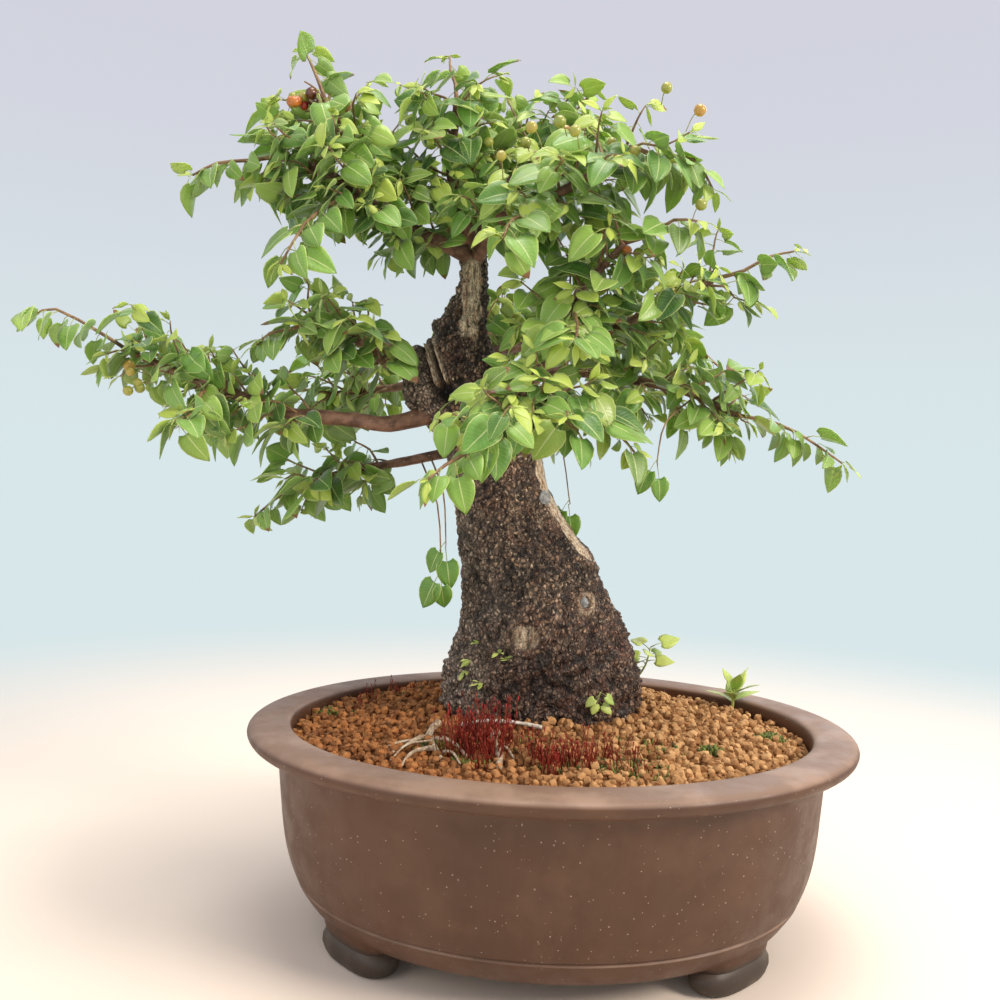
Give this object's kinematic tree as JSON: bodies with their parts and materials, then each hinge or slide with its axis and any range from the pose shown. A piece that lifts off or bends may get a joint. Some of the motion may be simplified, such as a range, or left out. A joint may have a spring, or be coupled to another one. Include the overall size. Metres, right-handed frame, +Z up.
{
  "type": "bonsai tree in a pot",
  "caption": "Broadleaf bonsai with a heavy leaning trunk, long side limbs and sprays of green leaves, growing in granular soil in an unglazed oval pot on low feet.",
  "frame": {"origin": "middle of the whole object's base: half-way across its overall width and depth, on the surface that the pot's feet stand on", "axes": "+Z up, +X to the right and -Y to the front, seen from the tree's best side; the pot's long side runs along X"},
  "size_m": [0.626, 0.3722, 0.6471],
  "materials": {
    "stoneware": "satin",
    "soil_granules": "matte",
    "bark": "matte",
    "twig_bark": "satin",
    "leaf": "satin",
    "young_leaf": "satin",
    "berry": "gloss",
    "wound_paste": "matte",
    "deadwood": "matte",
    "moss": "matte",
    "screen_mesh": "matte",
    "clip_wire": "satin"
  },
  "bodies": {
    "root": {"pot": "stoneware", "drain_screen_left": "screen_mesh", "drain_screen_right": "screen_mesh", "screen_clip_left": "clip_wire", "screen_clip_right": "clip_wire", "soil": "soil_granules", "trunk": "bark", "limb_crown_left": "twig_bark", "limb_upper_left": "twig_bark", "limb_crown_centre": "twig_bark", "limb_crown_right": "twig_bark", "limb_crown_front": "twig_bark", "limb_crown_back": "twig_bark", "limb_right_rising": "twig_bark", "limb_right_mid": "twig_bark", "limb_right_low": "twig_bark", "limb_right_back": "twig_bark", "limb_front_low": "twig_bark", "limb_front_right": "twig_bark", "limb_left_low": "twig_bark", "limb_left_lower": "twig_bark", "limb_left_mid": "twig_bark", "limb_left_back": "twig_bark", "limb_back_low": "twig_bark", "wound_seal_upper": "wound_paste", "wound_seal_lower": "wound_paste", "dead_root_left": "deadwood", "dead_root_front": "deadwood", "dry_stick": "deadwood", "moss_front_left": "moss", "moss_front_right": "moss", "seedling": "young_leaf", "sucker_right": "young_leaf", "sucker_front": "young_leaf", "berries_upper_left": "berry", "berries_left_low": "berry", "shoot_crown_left_tip": "leaf", "shoot_crown_left_front": "leaf", "shoot_crown_left_rear": "leaf", "shoot_upper_left_tip": "leaf", "shoot_upper_left_side": "leaf", "shoot_crown_centre_tip": "leaf", "shoot_crown_right_tip": "leaf", "shoot_crown_right_side": "leaf", "shoot_crown_front_tip": "leaf", "shoot_crown_front_side": "leaf", "shoot_crown_back_tip": "leaf", "shoot_right_rising_tip": "leaf", "shoot_right_rising_side": "leaf", "shoot_right_mid_tip": "leaf", "shoot_right_low_tip": "leaf", "shoot_right_back_tip": "leaf", "shoot_front_low_tip": "leaf", "shoot_front_right_tip": "leaf", "shoot_left_low_tip": "leaf", "shoot_left_low_side": "leaf", "shoot_left_mid_tip": "leaf", "shoot_left_back_tip": "leaf", "shoot_left_lower_tip": "leaf", "shoot_back_low_tip": "leaf"}
  },
  "joints": []
}
